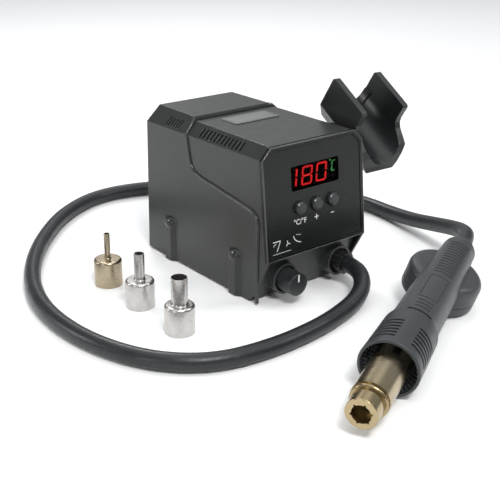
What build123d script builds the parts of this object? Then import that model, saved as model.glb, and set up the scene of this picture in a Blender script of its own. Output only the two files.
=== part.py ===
from build123d import *
from math import atan2, cos, degrees, hypot, radians, sin, tan
import os

os.makedirs("parts", exist_ok=True)

# Driving dimensions in millimetres. Station frame: x from its left side, y from the panel's lower edge
# towards the back, z from the bench. ORIGIN moves everything to the middle of the whole set.
ORIGIN = (44.45, -5.55, 0.0)
WIDTH, BACK, BACK_TOP = 112.0, 174.0, 171.5
ROOF_FRONT, ROOF_REAR = 135.4, 138.0
SKIRT = 1.5
WALL = 3.0
SIDE_STEP = 1.0
LEAN = degrees(atan2(11.0, ROOF_FRONT - 42.25))
PANEL_Z = 42.25
PANEL_V = (ROOF_FRONT - PANEL_Z) / cos(radians(LEAN))
CHEEK_Y = 22.0
BEZEL_T = 4.0
KNOB_X, GLAND_X, AXIS_Z = 26.5, 89.5, 19.5
BUTTON_X = (37.6, 56.0, 74.4)
BUTTON_V, BUTTON_R = 39.4, 5.6
SCREEN = (29.6, 54.2, 83.4, 74.8)
PILLAR_Y = (42.7, 137.3)
PINS = ((29, 38), (43, 38), (36, 42))
BOARD_HOLES = ((21, 57), (WIDTH - 21, 57), (21, 129), (WIDTH - 21, 129))
HOSE_D = 14.5
NOZZLE_R, NOZZLE_BORE, NOZZLE_H, NOZZLE_BASE = 12.1, 11.65, 47.0, 24.0
NOZZLES = (("small", 2.5, -74.2, 126.9), ("medium", 4.35, -76.1, 73.5), ("large", 6.5, -77.0, 15.8))
TIP = (-73.0, -177.0, 19.7)
HEADING, PITCH, ROLL = 25.3, 3.3, 18.0
RIM_S, COLLAR_S, FAN_S, HANDLE_END = 57.0, 108.0, 217.0, 262.0
COLLAR_R, FAN_R, FAN_LOW, FAN_TOP = 22.9, 31.5, -23.3, 3.0
HANDLE_R = ((108.2, 19.8), (125, 18.8), (155, 18.3), (190, 17.2), (225, 15.8), (250, 14.6))
CRADLE_AT, CRADLE_TILT, CRADLE_YAW = (118.0, 52.0, 169.0), 32.0, -3.0
TROUGH_R, TROUGH_DEPTH, TROUGH_WALL = 21.5, 21.5, 6.0

PANEL = Plane(
    origin=(0, 0, PANEL_Z), x_dir=(1, 0, 0), z_dir=(0, -cos(radians(LEAN)), sin(radians(LEAN)))
)
HAND = Pos(*TIP) * Rot(0, 0, HEADING) * Rot(0, -PITCH, 0) * Rot(ROLL, 0, 0)
LOW = (Align.CENTER, Align.CENTER, Align.MIN)


def box(x0, x1, y0, y1, z0, z1):
    return Pos((x0 + x1) / 2, (y0 + y1) / 2, (z0 + z1) / 2) * Box(x1 - x0, y1 - y0, z1 - z0)


def rod_x(r, x0, x1):
    return Pos(x0, 0, 0) * Rot(0, 90, 0) * Cylinder(r, x1 - x0, align=LOW)


def rod_y(r, y0, y1):
    return Pos(0, y0, 0) * Rot(-90, 0, 0) * Cylinder(r, y1 - y0, align=LOW)


def rod_z(r, z0, z1):
    return Pos(0, 0, z0) * Cylinder(r, z1 - z0, align=LOW)


def side_prism(points, x0, x1):
    return Pos(x0, 0, 0) * extrude(Plane.YZ * make_face(Polyline(*points, close=True)), x1 - x0)


def on_panel(u, v, w):
    return PANEL.location * Pos(u, v, w)


def panel_plate(u0, v0, u1, v1, w0, w1, corner=(0, 0)):
    cu, cv = corner
    points = [(u0, v0), (u1, v0), (u1, v1 - cv), (u1 - cu, v1), (u0 + cu, v1), (u0, v1 - cv)]
    if cu == 0:
        points = [(u0, v0), (u1, v0), (u1, v1), (u0, v1)]
    sketch = make_face(Polyline(*points, close=True))
    return PANEL.location * Pos(0, 0, w0) * extrude(sketch, w1 - w0)


def rounded_plate(u0, v0, u1, v1, w0, w1, r):
    sketch = RectangleRounded(u1 - u0, v1 - v0, r)
    return on_panel((u0 + u1) / 2, (v0 + v1) / 2, w0) * extrude(sketch, w1 - w0)


def chamfer_side(solid, inset):
    """Cuts both sloping shoulders of the cover; inset moves the slope inwards."""
    normal = Vector(-1437, 15.4, 1550).normalized()
    for side in (0, 1):
        n = normal if side == 0 else Vector(-normal.X, normal.Y, normal.Z)
        at = Vector(0 if side == 0 else WIDTH, 10, 126.5) - n * inset
        away = Plane(origin=at, z_dir=n)
        solid -= away.location * Pos(0, 0, 30) * Box(500, 500, 60)
    return solid


def envelope(inset, roof, back_low, back_top):
    points = [
        (0, PANEL_Z),
        (11.0 * (roof - PANEL_Z) / (ROOF_FRONT - PANEL_Z), roof),
        (back_top, roof),
        (back_low, SKIRT),
        (CHEEK_Y, SKIRT),
    ]
    return chamfer_side(side_prism(points, inset, WIDTH - inset), inset)


def widened(points, gap):
    """The same open line, moved outwards (to its left, going up) by gap, with mitred corners."""
    moved = []
    for i, (a, b) in enumerate(points):
        before = points[max(i - 1, 0)]
        after = points[min(i + 1, len(points) - 1)]
        ways = [(q[0] - p[0], q[1] - p[1]) for p, q in ((before, (a, b)), ((a, b), after)) if p != q]
        sides = [(-v / hypot(u, v), u / hypot(u, v)) for u, v in ways]
        mean = (sum(n[0] for n in sides) / len(sides), sum(n[1] for n in sides) / len(sides))
        size = mean[0] ** 2 + mean[1] ** 2
        moved.append((a + gap * mean[0] / size, b + gap * mean[1] / size))
    return moved


def housing_cover():
    front = envelope(SIDE_STEP, ROOF_FRONT, BACK, BACK_TOP)
    proud = [
        (14, 0), (14, 70), (15.5, 76), (20, 80.6), (26, 82.2), (94, 92), (101, 94.4), (105.5, 99.5),
        (107.5, 106), (112, 125), (113.6, 133), (114.2, 135.39), (117.4, 138.5), (180, 139), (180, 0),
    ]
    rear = envelope(0, ROOF_REAR, BACK, BACK_TOP) & side_prism(proud, -1, WIDTH + 1)
    body = front + rear
    line = proud[1:11]
    band = widened(line, 2.5) + widened(line, 1.5)[::-1]
    groove = side_prism(band, -1, SIDE_STEP + 0.8)
    groove += side_prism(band, WIDTH - SIDE_STEP - 0.8, WIDTH + 1)
    body -= groove
    for y in PILLAR_Y:
        for side in (0, 1):
            x = 0 if side == 0 else WIDTH
            d = -1 if side == 0 else 1
            plan = [(x - d, y - 8.7), (x, y - 8.7), (x + d * 3.5, y - 4), (x + d * 3.5, y + 4), (x, y + 8.7)]
            plan += [(x - d, y + 8.7)]
            pillar = Pos(0, 0, 0.8) * extrude(make_face(Polyline(*plan, close=True)), 44)
            slope = Pos(x + d * 3.5, y, 38) * Rot(0, d * 50, 0) * Pos(0, 0, 10) * Box(60, 40, 20)
            body += pillar - slope
    hollow = [
        (-40, -5), (-40, ROOF_FRONT - WALL), (115.5, ROOF_FRONT - WALL), (118.5, ROOF_REAR - WALL),
        (168.4, ROOF_REAR - WALL), (171.0, -5),
    ]
    body -= chamfer_side(side_prism(hollow, WALL + SIDE_STEP - 0.8, WIDTH - WALL - SIDE_STEP + 0.8), WALL)
    body -= panel_plate(-5, 0, WIDTH + 5, 120, -BEZEL_T - 0.1, 40)
    slots = [42.0 + 4.9 * i for i in range(12)] + [126.8 + 3.7 * i for i in range(6)]
    for i, y in enumerate(slots):
        width = 2.5 if i < 12 else 1.9
        for side in (0, 1):
            x = 5.0 if side == 0 else WIDTH - 5.0
            tilt = -42.8 if side == 0 else 42.8
            body -= Pos(x, y, 130.6) * Rot(0, tilt, 0) * Box(9.4, width, 12)
    for i in range(46):
        body -= Pos(11.2 + 2.0 * i, 115.4, 136.9) * Rot(44, 0, 0) * Box(1.1, 5.6, 2.0)
    body -= box(12, 100, 160, 180, 12, 58)
    for y in (31, 45):
        body -= Pos(WIDTH, y, 112) * rod_x(1.8, -8, 4)
    return body


def base_tray():
    tray = box(3.6, WIDTH - 3.6, 24.4, 170.2, 2.0, 4.6)
    for x in (11, WIDTH - 11):
        for y in PILLAR_Y:
            boss = rod_z(4.2, 4.6, 30) - rod_z(1.7, 6, 31)
            tray += Pos(x, y, 0) * boss
            tray -= Pos(x, y, 0) * (rod_z(2.2, 1, 6.1) + rod_z(4.1, 1, 3.4))
    for x in (14, WIDTH - 14):
        for y in (31, 162):
            tray -= Pos(x, y, 0) * rod_z(2.1, 1, 6)
    for i in range(14):
        tray -= box(30, 82, 62 + 5 * i, 64.4 + 5 * i, 1, 6)
    for x, y in BOARD_HOLES:
        tray += Pos(x, y, 0) * (rod_z(3.0, 4.6, 11.95) + rod_z(1.5, 11.95, 15.4))
    return tray


def cover_screws():
    screws = []
    for x in (11, WIDTH - 11):
        for y in PILLAR_Y:
            screws.append(Pos(x, y, 0) * (rod_z(3.6, 2.1, 3.3) + rod_z(1.6, 3.3, 20)))
    return Compound(children=screws)


def rubber_feet():
    feet = []
    for x in (14, WIDTH - 14):
        for y in (31, 162):
            foot = Cone(5.4, 6.2, 1.95, align=LOW) + rod_z(2.0, 1.9, 5.6) + rod_z(3.0, 4.65, 6.0)
            feet.append(Pos(x, y, 0) * foot)
    return Compound(children=feet)


def front_bezel():
    slab = panel_plate(0, 0, WIDTH, PANEL_V, -BEZEL_T, 0, (9.6, 8.9))
    slab -= panel_plate(3.6, 3.4, WIDTH - 3.6, PANEL_V - 3.2, -1.3, 1, (8.2, 7.6))
    slab -= panel_plate(SCREEN[0] - 0.2, SCREEN[1] - 0.2, SCREEN[2] + 0.2, SCREEN[3] + 0.2, -9, 9)
    for u in BUTTON_X:
        slab -= on_panel(u, BUTTON_V, 0) * rod_z(BUTTON_R + 0.35, -9, 9)
    lip = panel_plate(4.6, 3, WIDTH - 4.6, PANEL_V - 4.2, -9, -BEZEL_T, (8.6, 8))
    lip -= panel_plate(6.2, 4.6, WIDTH - 6.2, PANEL_V - 5.8, -10, -3.5, (8.2, 7.6))
    slab += lip
    for u in (10.5, WIDTH - 10.5):
        for v in (14, 76):
            post = on_panel(u, v, 0) * (rod_z(3.0, -14.0, -BEZEL_T) - rod_z(1.2, -15, -6))
            slab += post
    slab = chamfer(slab.edges().filter_by(lambda e: on_face(e, 0.0)), 0.5)
    return slab


def on_face(edge, w):
    """True for an edge of the bezel's outline that lies in its front plane."""
    a = PANEL.to_local_coords(edge.position_at(0.5))
    outline = a.X < 3 or a.X > WIDTH - 3 or a.Y < 3 or a.Y > PANEL_V - 2.9
    ends = [PANEL.to_local_coords(edge.position_at(t)) for t in (0.02, 0.98)]
    slope = (a.X - 4.8) + (PANEL_V - a.Y - 4.45) < 1.2 or (WIDTH - a.X - 4.8) + (PANEL_V - a.Y - 4.45) < 1.2
    return all(abs(p.Z - w) < 0.01 for p in ends) and (outline or slope)


def panel_overlay():
    sheet = panel_plate(3.9, 3.7, WIDTH - 3.9, PANEL_V - 3.5, -1.28, -0.5, (8.1, 7.5))
    sheet -= rounded_plate(*SCREEN, -2, 1, 2.4)
    for u in BUTTON_X:
        sheet -= on_panel(u, BUTTON_V, 0) * rod_z(BUTTON_R + 0.3, -9, 9)
    return sheet


def display_window():
    return rounded_plate(SCREEN[0] + 0.1, SCREEN[1] + 0.1, SCREEN[2] - 0.1, SCREEN[3] - 0.1, -2.2, -0.6, 2.3)


def display_module():
    u0, v0, u1, v1 = SCREEN
    return panel_plate(u0 + 1, v0 + 0.6, u1 - 1, v1 - 0.6, -14.4, -3.0)


def display_digits():
    """Lit bars of three figures and a small unit mark, on the module's face under the window."""
    bars = []
    lit = {0: "bc", 1: "abcdefg", 2: "abcdef"}
    for i in range(3):
        u = (25.2, 42.2, 58.3)[i]
        for name in lit[i]:
            bars.append(segment(name, u, 56.6, 11.6, 15.8, 1.45))
    for name in "adef":
        bars.append(segment(name, 76.6, 62.6, 4.2, 9.0, 0.7))
    bars.append(on_panel(75.8, 72.4, -2.98) * (Cylinder(0.8, 0.5, align=LOW) - Cylinder(0.4, 1.2)))
    return Compound(children=bars)


def segment(name, u, v, width, height, t):
    """One bar of a seven-bar figure whose lower left corner is at u, v, leaning to the right."""
    h = height / 2
    place = {
        "a": (width / 2, height - t / 2, width - 2 * t, t), "g": (width / 2, h, width - 2 * t, t),
        "d": (width / 2, t / 2, width - 2 * t, t), "f": (t / 2, 1.5 * h, t, h - 1.2 * t),
        "b": (width - t / 2, 1.5 * h, t, h - 1.2 * t), "e": (t / 2, 0.5 * h, t, h - 1.2 * t),
        "c": (width - t / 2, 0.5 * h, t, h - 1.2 * t),
    }
    cu, cv, w, h = place[name]
    lean = tan(radians(8))
    corners = [(cu + sx * w / 2, cv + sy * h / 2) for sx, sy in ((-1, -1), (1, -1), (1, 1), (-1, 1))]
    points = [(u + a + b * lean, v + b) for a, b in corners]
    return on_panel(0, 0, -2.98) * extrude(make_face(Polyline(*points, close=True)), 0.5)


def front_board():
    board = panel_plate(7.5, 8, WIDTH - 7.5, PANEL_V - 10, -16.0, -14.4, (6, 6))
    for u in (10.5, WIDTH - 10.5):
        for v in (14, 76):
            board -= on_panel(u, v, 0) * rod_z(1.4, -18, -12)
    return board


def board_screws():
    screws = []
    for u in (10.5, WIDTH - 10.5):
        for v in (14, 76):
            screws.append(on_panel(u, v, 0) * (rod_z(2.4, -17.6, -16.05) + rod_z(1.1, -16.05, -8)))
    return Compound(children=screws)


def tact_switches():
    switches = []
    for u in BUTTON_X:
        body = Pos(0, 0, -12.5) * Box(6, 6, 3.7) + rod_z(1.7, -10.7, -10.0)
        switches.append(on_panel(u, BUTTON_V, 0) * body)
    return Compound(children=switches)


def push_button():
    cap = rod_z(BUTTON_R, -4.5, 2.2)
    dome = Pos(0, 0, 2.2) * Cone(BUTTON_R, BUTTON_R - 1.4, 1.3, align=LOW)
    cap = cap + dome
    cap = fillet(cap.faces().sort_by(Axis.Z)[-1].edges(), 1.0)
    return cap + rod_z(BUTTON_R + 1.2, -5.9, -4.5) + rod_z(1.9, -8.7, -5.9)


def front_apron():
    wall = side_prism([(7.4, 41.2), (10.4, 41.9), (24.2, 2.6), (20.9, 2.0)], 3.6, WIDTH - 3.6)
    ledge = side_prism([(9.4, 41.9), (9.4, 44.0), (11.2, 44.0), (11.2, 41.9)], 8, WIDTH - 8)
    foot = side_prism([(20.9, 2.0), (24.2, 2.0), (24.2, 4.4), (20.9, 4.4)], 3.6, WIDTH - 3.6)
    wall = wall + ledge + foot
    for x in (KNOB_X, GLAND_X):
        wall += Pos(x, 0, AXIS_Z) * rod_y(13.6, 7, 22)
        wall -= Pos(x, 0, AXIS_Z) * rod_y(11.6, 0, 12.0)
    wall -= Pos(KNOB_X, 0, AXIS_Z) * rod_y(4.0, 0, 40)
    wall -= Pos(GLAND_X, 0, AXIS_Z) * rod_y(8.0, 0, 40)
    return wall


def airflow_knob():
    knob = Cone(10.3, 9.9, 19.0, align=LOW)
    knob = fillet(knob.faces().sort_by(Axis.Z)[-1].edges(), 0.8)
    for i in range(36):
        a = 10 * i + 5
        knob -= Rot(0, 0, a) * Pos(10.5, 0, -2) * Cylinder(0.55, 18.5, align=LOW)
    knob -= Pos(0, 0, -0.5) * Cylinder(3.02, 14.5, align=LOW)
    knob -= Pos(0, 5.9, 18.5) * Box(1.7, 6.6, 2.0)
    return Pos(KNOB_X, 10.0, AXIS_Z) * Rot(90, 0, 0) * knob


def knob_pointer():
    return Pos(KNOB_X, 10.0, AXIS_Z) * Rot(90, 0, 0) * Pos(0, 5.9, 18.25) * Box(1.6, 6.4, 1.4)


def pot_shaft():
    return Pos(KNOB_X, 0, AXIS_Z) * rod_y(3.0, -3.4, 31.0)


def potentiometer():
    body = rod_y(8.5, 22.1, 31.5) + rod_y(3.9, 12.6, 22.1) + box(-6, 6, 24.6, 26.6, -14, -5)
    body -= rod_y(3.05, 0, 31.1)
    return Pos(KNOB_X, 0, AXIS_Z) * body


def hose_gland():
    gland = rod_y(7.9, 4, 28) + rod_y(9.6, -2, 11.9)
    for i in range(12):
        gland -= Rot(0, 30 * i, 0) * Pos(10.4, 0, 0) * rod_y(1.5, -3, 9)
    gland -= rod_y(5.0, -3, 30)
    return Pos(GLAND_X, 0, AXIS_Z) * gland


def gland_locknut():
    nut = Rot(-90, 0, 0) * extrude(RegularPolygon(11.5, 6), 4.0)
    return Pos(GLAND_X, 22.05, AXIS_Z) * (nut - rod_y(7.95, -1, 6))


def rear_panel():
    plate = box(12.15, 99.85, 169.0, 172.6, 12.15, 57.85) + box(8, 104, 166.6, 169.0, 8, 62)
    plate -= box(22.4, 49.6, 160, 180, 17.4, 52.6)
    plate -= box(70.4, 83.6, 160, 180, 25.4, 44.6)
    return plate


def mains_inlet():
    shell = box(20.5, 51.5, 172.7, 174.6, 15.5, 54.5) + box(22.6, 49.4, 150, 172.7, 17.6, 52.4)
    recess = [(24.0, 32.0), (48.0, 32.0), (48.0, 44.5), (44.0, 48.5), (28.0, 48.5), (24.0, 44.5)]
    mouth = Plane.XZ * make_face(Polyline(*recess, close=True))
    shell -= Pos(0, 176, 0) * extrude(mouth, 17)
    shell -= box(24.4, 47.6, 158, 176, 19.4, 28.6)
    for x, z in PINS:
        shell -= box(x - 1.03, x + 1.03, 140, 165, z - 2.03, z + 2.03)
    return shell


def inlet_pins():
    pins = []
    for x, z in PINS:
        pins.append(box(x - 1, x + 1, 146, 169.5 if z == 38 else 170.5, z - 2, z + 2))
    return Compound(children=pins)


def fuse_drawer():
    return box(24.5, 47.5, 158.2, 174.2, 19.5, 28.5) + box(33, 39, 174.2, 175.2, 21, 23)


def switch_frame():
    frame = box(69.0, 85.0, 172.7, 174.4, 24.0, 46.0) + box(70.6, 83.4, 158, 172.7, 25.6, 44.4)
    frame -= box(72.0, 82.0, 160, 176, 27.0, 43.0)
    return frame - Pos(0, 170.5, 35) * rod_x(1.05, 71.0, 83.0)


def rocker_switch():
    profile = [(173.6, 27.9), (173.6, 42.1), (168.0, 41.6), (166.0, 38.0), (166.0, 32.0), (168.0, 28.4)]
    rocker = side_prism(profile, 72.3, 81.7)
    crown = [(172.4, 27.9), (175.0, 27.9), (173.9, 35.0), (175.0, 42.1), (172.4, 42.1)]
    rocker += side_prism(crown, 72.3, 81.7)
    rocker += Pos(0, 170.5, 35) * rod_x(1.0, 71.2, 82.8)
    return Pos(0, 170.5, 35) * Rot(10, 0, 0) * Pos(0, -170.5, -35) * rocker


def power_board():
    board = box(16, WIDTH - 16, 52, 134, 12.0, 13.6)
    for x, y in BOARD_HOLES:
        board -= Pos(x, y, 0) * rod_z(1.6, 10, 15)
    return board


def transformer_core():
    core = box(27, 73, 88, 124, 13.7, 51.7)
    core -= box(34, 43, 80, 134, 21.7, 43.7) + box(57, 66, 80, 134, 21.7, 43.7)
    return core


def transformer_winding():
    coil = box(34.2, 65.8, 81, 131, 21.9, 43.5)
    return coil - box(42.8, 57.2, 87.8, 124.2, 20, 46)


def heatsink():
    sink = box(77, 95, 62, 122, 13.7, 17)
    for i in range(5):
        sink += box(77 + 4 * i, 79 + 4 * i, 62, 122, 17, 42)
    return sink


def capacitors():
    cans = [Pos(27, 71, 0) * rod_z(7.5, 13.7, 38), Pos(44, 70, 0) * rod_z(6, 13.7, 32)]
    cans.append(Pos(60, 68, 0) * rod_z(5, 13.7, 28))
    return Compound(children=cans)


def roof_badge():
    plate = extrude(RectangleRounded(49.0, 22.5, 1.6), 0.7)
    border = extrude(RectangleRounded(45.4, 18.9, 1.2), 1) - extrude(RectangleRounded(44.2, 17.7, 0.8), 1)
    plate -= Pos(0, 0, 0.5) * border
    return Pos(56.5, 93.0, ROOF_FRONT + 0.02) * plate


def cradle_frame():
    tilt, yaw = radians(CRADLE_TILT), radians(CRADLE_YAW)
    right = Vector(cos(yaw), sin(yaw), 0)
    up = Vector(sin(yaw) * sin(tilt), -cos(yaw) * sin(tilt), cos(tilt))
    return Plane(origin=CRADLE_AT, x_dir=right, z_dir=up).location


def cradle():
    half = TROUGH_R + TROUGH_WALL
    low = -TROUGH_DEPTH - TROUGH_R - 3.8
    section = [(0, 0), (0, low + 15), (9, low), (2 * half - 14, low), (2 * half, low + 17), (2 * half, 0)]
    outer = Pos(0, 1.8, 0) * extrude(Plane.XZ * make_face(Polyline(*section, close=True)), 75.3)
    outer -= Pos(half, 0, -TROUGH_DEPTH) * rod_y(TROUGH_R, -80, 5) + box(
        TROUGH_WALL, 2 * half - TROUGH_WALL, -80, 5, -TROUGH_DEPTH, 5
    )
    ledge = rod_y(TROUGH_R + 0.5, -73.5, -64) + rod_y(TROUGH_R + 0.5, -6, 1.8)
    ledge -= rod_y(TROUGH_R - 1.4, -80, 5) + box(-40, 40, -80, 5, 2, 40)
    outer += Pos(half, 0, -TROUGH_DEPTH) * ledge
    away = [
        (-44.3, 1), (-44.3, -14), (-45.3, -18.5), (-49, -22.5), (-55.5, -25.8), (-62.4, -29.5), (-67, -35),
        (-71, -42), (-73.6, -50), (-90, -50), (-90, 1),
    ]
    outer -= side_prism(away, -1, 2 * half + 1)
    outer -= box(half - 4.1, half + 4.1, -40, -31.8, -60, -TROUGH_DEPTH - TROUGH_R - 1.2)
    corner = outer.edges().filter_by(Axis.X).filter_by(lambda e: e.center().Z > -0.5 and e.length < 10)
    outer = fillet(corner, 2.5)
    return cradle_frame() * outer


def cradle_magnet():
    half = TROUGH_R + TROUGH_WALL
    low = -TROUGH_DEPTH - TROUGH_R
    return cradle_frame() * box(half - 4, half + 4, -39.9, -31.9, low - 3.7, low - 1.25)


def cradle_bracket():
    block = box(WIDTH - SIDE_STEP + 0.05, 124, 22, 54, 92, 130)
    block -= cradle_frame() * box(-0.05, 200, -200, 200, -300, 300)
    for y in (31, 45):
        block -= Pos(0, y, 112) * rod_x(1.6, 100, 130)
    return block


def cradle_screws():
    screws = []
    for y in (31, 45):
        screws.append(Pos(0, y, 112) * (rod_x(3.0, 105.4, 107.6) + rod_x(1.5, 107.6, 113.9)))
    return Compound(children=screws)


def nozzle(tube_r):
    outer = Cylinder(NOZZLE_R, NOZZLE_BASE, align=LOW)
    outer = fillet(outer.faces().sort_by(Axis.Z)[-1].edges(), 2.2)
    outer += Cylinder(tube_r, NOZZLE_H, align=LOW)
    root = outer.edges().filter_by(GeomType.CIRCLE)
    root = [e for e in root if abs(e.center().Z - NOZZLE_BASE) < 0.01 and abs(e.radius - tube_r) < 0.01]
    outer = fillet(root, 0.9)
    inner = Cylinder(NOZZLE_BORE, NOZZLE_BASE - 0.5, align=LOW)
    inner = fillet(inner.faces().sort_by(Axis.Z)[-1].edges(), 1.75)
    inner += Cylinder(tube_r - 0.45, NOZZLE_H + 1, align=LOW)
    return outer - inner


def handle_loft(grow):
    """The tapering grip as one smooth solid round the local x axis, with a rounded rear end."""
    faces = []
    for s, r in HANDLE_R:
        faces.append(Plane(origin=(s, 0, 0), z_dir=(1, 0, 0)) * Circle(r + grow))
    body = loft(faces)
    last = HANDLE_R[-1]
    body += rod_x(last[1] + grow, last[0], HANDLE_END + min(grow, 0) - 0.0)
    return body


def fan_drum(grow):
    drum = Pos(FAN_S, 0, FAN_LOW - grow) * Cylinder(FAN_R + grow, FAN_TOP - FAN_LOW + 2 * grow, align=LOW)
    drum = fillet(drum.faces().sort_by(Axis.Z)[-1].edges(), 7.0 + grow)
    return fillet(drum.faces().sort_by(Axis.Z)[0].edges(), 3.0 + grow)


def grip_body():
    grip = handle_loft(0)
    grip = fillet(grip.faces().sort_by(Axis.X)[-1].edges(), 6.0)
    shell = (grip + fan_drum(0)) - handle_loft(-2.2) - fan_drum(-2.2)
    shell -= rod_x(7.6, HANDLE_END - 6, HANDLE_END + 6)
    shell -= rod_x(15.2, 100, 110)
    seam = (fan_drum(1.0) - fan_drum(-0.7)) & box(180, 250, -60, 60, -14.65, -14.0)
    shell -= seam - handle_loft(0.3)
    return shell


def handle_upper(shell):
    return shell & box(90, 300, -60, 60, 0.0, 60)


def handle_lower(shell):
    return shell & box(90, 300, -60, 60, -14.3, -0.02)


def fan_cover(shell):
    cover = shell & box(90, 300, -60, 60, -60, -14.32)
    for i in range(-5, 6):
        for j in range(-5, 6):
            x, y = 4.9 * (i + 0.5 * (j % 2)), 4.3 * j
            if hypot(x, y) < 22.5:
                cover -= Pos(FAN_S + x, y, 0) * rod_z(1.75, -30, -18)
    return cover


def handle_screws():
    screws = []
    for x, y in ((132, 0), (156, 0), (178, 0)):
        r = 18.4 - (x - 132) * 0.022
        screws.append(Pos(x, y, 0) * (rod_z(2.2, -r + 2.4, -r + 4.2) + rod_z(1.1, -r + 4.2, -3)))
    return Compound(children=screws)


def grip_panel():
    pad = handle_loft(1.0) - handle_loft(0.03)
    pad = pad & box(112, 249, -9.5, 9.5, 5, 40)
    cuts = [(178 + 5.2 * i, 2.4, 7.6) for i in range(13)] + [(116.5 + 5 * i, 2.0, 6.2) for i in range(3)]
    high = handle_loft(2.0) - handle_loft(0.45)
    groove = box(133, 172, -7.6, 7.6, 0, 40) - box(134, 171, -6.6, 6.6, -1, 41)
    for s, width, half in cuts:
        groove += box(s, s + width, -half, half, 0, 40)
    return pad - (high & groove)


def vent_collar():
    collar = Pos(RIM_S, 0, 0) * Rot(0, 90, 0) * Cone(COLLAR_R, 21.4, COLLAR_S - RIM_S, align=LOW)
    collar -= Pos(RIM_S - 0.01, 0, 0) * Rot(0, 90, 0) * Cone(COLLAR_R - 2.3, 19.2, 36.0, align=LOW)
    collar -= rod_x(14.3, 90, 120)
    collar -= rod_x(18.6, 98, 120)
    rim = [e for e in collar.edges().filter_by(GeomType.CIRCLE) if abs(e.radius - COLLAR_R) < 0.01]
    collar = fillet(rim, 0.9)
    for i in range(36):
        collar += Rot(10 * i + 4, 0, 0) * box(62, 91, -0.5, 0.5, 18.5, 21.1)
    for i in range(4):
        collar -= Rot(45 + 90 * i, 0, 0) * Pos(0, 15.7, 0) * rod_x(1.15, 96.7, 99)
    for i in range(6):
        x = 64.8 + 4.6 * i
        for side in (-1, 1):
            for base in (16, 196):
                angles = [radians(base + k * 18) for k in range(4)]
                points = [(0, 0)] + [(side * 40 * sin(a), 40 * cos(a)) for a in angles]
                wedge = side_prism(points, x, x + 2.4)
                collar -= wedge - rod_x(17.5, x - 1, x + 4)
    return collar


def barrel_tube():
    tube = rod_x(14.0, 17.4, 96) + rod_x(13.1, 13.0, 17.6)
    bead = Pos(15.0, 0, 0) * Rot(0, 90, 0) * Torus(12.3, 1.35)
    tube += bead
    tube -= rod_x(11.5, 10, 17) + rod_x(13.3, 17.9, 100)
    return tube


def nozzle_seat():
    seat = rod_x(11.6, 0, 12.95)
    seat = fillet(seat.faces().sort_by(Axis.X)[0].edges(), 0.7)
    seat = seat - rod_x(10.8, 2.2, 14)
    hole = rod_x(6.9, 0, 12)
    for i in range(3):
        hole += Rot(30 + 60 * i, 0, 0) * Pos(6, 0, 0) * Box(12, 15.8, 1.5)
    return seat - Pos(-2, 0, 0) * hole


def heater_core():
    core = rod_x(9.2, 19, 100)
    for i in range(6):
        core -= Rot(60 * i, 0, 0) * Pos(0, 5.6, 0) * rod_x(1.9, 10, 110)
    return core - rod_x(2.2, 10, 110)


def heater_coil():
    turns = []
    for i in range(12):
        turns.append(Pos(24 + 6 * i, 0, 0) * Rot(0, 90, 0) * Torus(10.1, 0.6))
    return Compound(children=turns)


def mica_sleeve():
    return rod_x(12.6, 19, 96) - rod_x(12.1, 10, 110)


def tube_flange():
    flange = rod_x(18.2, 98.3, 100.3) - rod_x(9.5, 90, 110)
    for i in range(4):
        flange -= Rot(45 + 90 * i, 0, 0) * Pos(0, 15.7, 0) * rod_x(1.3, 90, 110)
    return flange


def flange_screws():
    screws = []
    for i in range(4):
        screw = rod_x(1.1, 97.0, 100.35) + rod_x(2.0, 100.35, 101.9)
        screws.append(Rot(45 + 90 * i, 0, 0) * Pos(0, 15.7, 0) * screw)
    return Compound(children=screws)


def blower_motor():
    body = rod_z(9.0, -2.9, 9.0) - rod_z(1.05, -4, 4)
    return Pos(FAN_S, 0, 0) * body


def blower_impeller():
    wheel = rod_z(25.0, -5.2, -4.0) + rod_z(4.5, -13.0, -4.1)
    wheel += (rod_z(25.0, -13.6, -12.6) - rod_z(19.0, -15, -12))
    for i in range(24):
        wheel += Rot(0, 0, 15 * i) * Pos(21.5, 0, -9) * Rot(0, 0, 35) * Box(7.2, 0.9, 8.2)
    wheel -= rod_z(1.5, -20, 0)
    return Pos(FAN_S, 0, 0) * wheel


def impeller_shaft():
    shaft = rod_z(1.0, -5.5, 3.5) + rod_z(1.5, -13.5, -4.0)
    return Pos(FAN_S, 0, 0) * shaft


def hose_boot():
    boot = rod_x(7.4, HANDLE_END - 7, HANDLE_END + 1) + rod_x(10.5, HANDLE_END + 0.1, HANDLE_END + 3)
    cone = Pos(HANDLE_END + 3, 0, 0) * Rot(0, 90, 0) * Cone(10.0, 8.6, 9, align=LOW)
    collar = rod_x(10.6, HANDLE_END - 10, HANDLE_END - 7.0) & rod_x(9.6, HANDLE_END - 12, HANDLE_END)
    return (boot + cone + collar) - rod_x(5.0, HANDLE_END - 20, HANDLE_END + 30)


def hose_route():
    """Control points of the hose from the gland's mouth to the boot on the handle."""
    end = HAND * Pos(HANDLE_END + 12, 0, 0)
    before = HAND * Pos(HANDLE_END + 30, 0, 0)
    bench = HOSE_D / 2 + 0.05
    points = [
        (89.5, -2, 19.5), (89.5, -12, 19.5), (84.8, -25, 17.6), (75.1, -35.7, 13.4), (60.7, -43, 9.6),
        (40, -49.5, 7.7), (4, -57.5, bench), (-47, -60, bench), (-96, -50.5, bench), (-131, -17, bench),
        (-149.5, 35, bench), (-151.5, 91, bench), (-139.5, 142, bench), (-113.5, 193, bench),
        (-76, 242, bench), (-28, 288, bench), (28, 313.5, bench), (86, 302, bench), (142, 271, bench),
        (191, 229.5, bench), (227, 177, bench), (241.5, 121, bench), (238.5, 82, 8.2), (231, 46, 13),
        (222.5, 14, 20.5), (213.5, -14, 28), (203.5, -37, 34),
    ]
    return points + [tuple(before.position), tuple(end.position)]


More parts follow.
